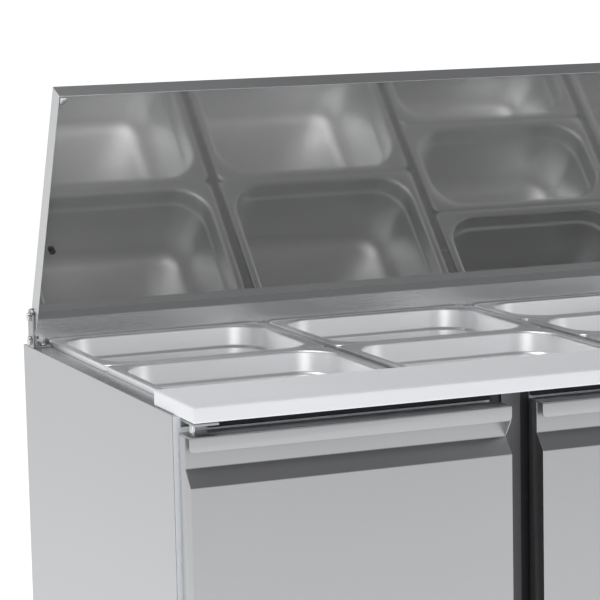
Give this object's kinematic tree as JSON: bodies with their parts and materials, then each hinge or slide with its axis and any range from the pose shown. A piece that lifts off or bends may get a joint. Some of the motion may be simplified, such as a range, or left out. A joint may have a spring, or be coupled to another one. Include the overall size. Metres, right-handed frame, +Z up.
{
  "type": "sandwich prep table",
  "caption": "Refrigerated stainless steel prep counter with hinged doors, drop-in pans under a folding cover, and a cutting board along the front.",
  "frame": {"origin": "on the floor, under the middle of the table", "axes": "+X to the right-hand end as the cook stands, +Y to the back, +Z up"},
  "size_m": [1.4076, 0.7, 1.2349],
  "materials": {
    "stainless_satin": "satin brushed stainless steel",
    "stainless_pan": "bright drawn stainless steel",
    "chrome_bolt": "bright plated",
    "galvanised": "matt galvanised",
    "liner_aluminium": "plain mill finish",
    "foam": "rigid foam",
    "black_plastic": "matt moulded",
    "grey_plastic": "matt moulded",
    "seal_rubber": "soft matt",
    "board_plastic": "fine grained white polyethylene",
    "black_enamel": "gloss black enamel",
    "copper_pipe": "drawn copper",
    "shelf_wire": "plastic coated wire"
  },
  "bodies": {
    "root": {"side_panel_left": "stainless_satin", "side_panel_right": "stainless_satin", "back_panel": "stainless_satin", "insulation": "foam", "liner": "liner_aluminium", "front_frame": "stainless_satin", "mullion_backings": "black_plastic", "mullion_covers": "stainless_satin", "rail_strips": "seal_rubber", "top_deck": "stainless_satin", "pan_bars": "stainless_satin", "rear_upstand": "stainless_satin", "cover_brackets": "stainless_satin", "cover_bolts": "chrome_bolt", "hinge_brackets": "stainless_satin", "hinge_pins": "chrome_bolt", "legs": "stainless_satin", "foot_pads": "seal_rubber", "base_tray": "galvanised", "front_grille": "stainless_satin", "control_housing": "black_plastic", "compressor": "black_enamel", "condenser": "liner_aluminium", "fan_shroud": "galvanised", "fan_motors": "black_enamel", "refrigerant_pipes": "copper_pipe", "cooler_coil": "liner_aluminium", "cooler_housing": "galvanised", "shelf_posts": "galvanised", "wire_shelves": "shelf_wire", "mains_inlet": "black_plastic"},
    "door_left": {"door_left_skin": "stainless_satin", "door_left_core": "foam", "door_left_seal": "seal_rubber"},
    "door_middle": {"door_middle_skin": "stainless_satin", "door_middle_core": "foam", "door_middle_seal": "seal_rubber"},
    "door_right": {"door_right_skin": "stainless_satin", "door_right_core": "foam", "door_right_seal": "seal_rubber"},
    "cover": {"cover_skin": "stainless_satin", "cover_inner_panel": "stainless_satin", "cover_stops": "seal_rubber", "flap_hinge_fixed": "stainless_satin"},
    "flap": {"flap_skin": "stainless_satin", "flap_hinge_moving": "stainless_satin"},
    "board": {"cutting_board": "board_plastic"},
    "pan_half_first_front_body": {"pan_half_first_front": "stainless_pan"},
    "pan_half_first_rear_body": {"pan_half_first_rear": "stainless_pan"},
    "pan_half_second_front_body": {"pan_half_second_front": "stainless_pan"},
    "pan_half_second_rear_body": {"pan_half_second_rear": "stainless_pan"},
    "pan_third_front_body": {"pan_third_front": "stainless_pan"},
    "pan_third_middle_body": {"pan_third_middle": "stainless_pan"},
    "pan_third_rear_body": {"pan_third_rear": "stainless_pan"},
    "pan_whole_body": {"pan_whole": "stainless_pan"},
    "condenser_rotor": {"condenser_fan": "black_plastic"},
    "cooler_rotor": {"cooler_fan": "black_plastic"},
    "key_up_button": {"key_up": "grey_plastic"},
    "key_down_button": {"key_down": "grey_plastic"},
    "switch_rocker": {"power_switch": "black_plastic"}
  },
  "joints": [
    {"name": "door_left_hinge", "type": "hinge", "parent": "root", "child": "door_left", "pos_m": [-0.6825, -0.307, 0.55], "axis": [0, 0, -1], "range_deg": [0, 105]},
    {"name": "door_middle_hinge", "type": "hinge", "parent": "root", "child": "door_middle", "pos_m": [0.2035, -0.307, 0.55], "axis": [0, 0, 1], "range_deg": [0, 105]},
    {"name": "door_right_hinge", "type": "hinge", "parent": "root", "child": "door_right", "pos_m": [0.6825, -0.307, 0.55], "axis": [0, 0, 1], "range_deg": [0, 105]},
    {"name": "cover_hinge", "type": "hinge", "parent": "root", "child": "cover", "pos_m": [0, 0.314, 0.9], "axis": [-1, 0, 0], "range_deg": [-67.8, 0]},
    {"name": "flap_hinge", "type": "hinge", "parent": "cover", "child": "flap", "pos_m": [0, 0.18538, 1.22571], "axis": [1, 0, 0], "range_deg": [0, 180]},
    {"name": "board_lift", "type": "slide", "parent": "root", "child": "board", "axis": [0, 0, 1], "range_m": [0, 0.15]},
    {"name": "pan_half_first_front_lift", "type": "slide", "parent": "root", "child": "pan_half_first_front_body", "axis": [0, 0, 1], "range_m": [0, 0.2]},
    {"name": "pan_half_first_rear_lift", "type": "slide", "parent": "root", "child": "pan_half_first_rear_body", "axis": [0, 0, 1], "range_m": [0, 0.014]},
    {"name": "pan_half_second_front_lift", "type": "slide", "parent": "root", "child": "pan_half_second_front_body", "axis": [0, 0, 1], "range_m": [0, 0.2]},
    {"name": "pan_half_second_rear_lift", "type": "slide", "parent": "root", "child": "pan_half_second_rear_body", "axis": [0, 0, 1], "range_m": [0, 0.014]},
    {"name": "pan_third_front_lift", "type": "slide", "parent": "root", "child": "pan_third_front_body", "axis": [0, 0, 1], "range_m": [0, 0.2]},
    {"name": "pan_third_middle_lift", "type": "slide", "parent": "root", "child": "pan_third_middle_body", "axis": [0, 0, 1], "range_m": [0, 0.2]},
    {"name": "pan_third_rear_lift", "type": "slide", "parent": "root", "child": "pan_third_rear_body", "axis": [0, 0, 1], "range_m": [0, 0.014]},
    {"name": "pan_whole_lift", "type": "slide", "parent": "root", "child": "pan_whole_body", "axis": [0, 0, 1], "range_m": [0, 0.014]},
    {"name": "condenser_fan_spin", "type": "hinge", "parent": "root", "child": "condenser_rotor", "pos_m": [0.21, -0.194, 0.157], "axis": [0, 1, 0], "continuous": true},
    {"name": "cooler_fan_spin", "type": "hinge", "parent": "root", "child": "cooler_rotor", "pos_m": [0, 0.247, 0.575], "axis": [0, 1, 0], "continuous": true},
    {"name": "key_up_press", "type": "slide", "parent": "root", "child": "key_up_button", "axis": [0, 1, 0], "range_m": [0, 0.0015], "stiffness_N_per_m": 400},
    {"name": "key_down_press", "type": "slide", "parent": "root", "child": "key_down_button", "axis": [0, 1, 0], "range_m": [0, 0.0015], "stiffness_N_per_m": 400},
    {"name": "switch_rock", "type": "hinge", "parent": "root", "child": "switch_rocker", "pos_m": [0.624, -0.279, 0.17], "axis": [-1, 0, 0], "range_deg": [0, 16]}
  ]
}
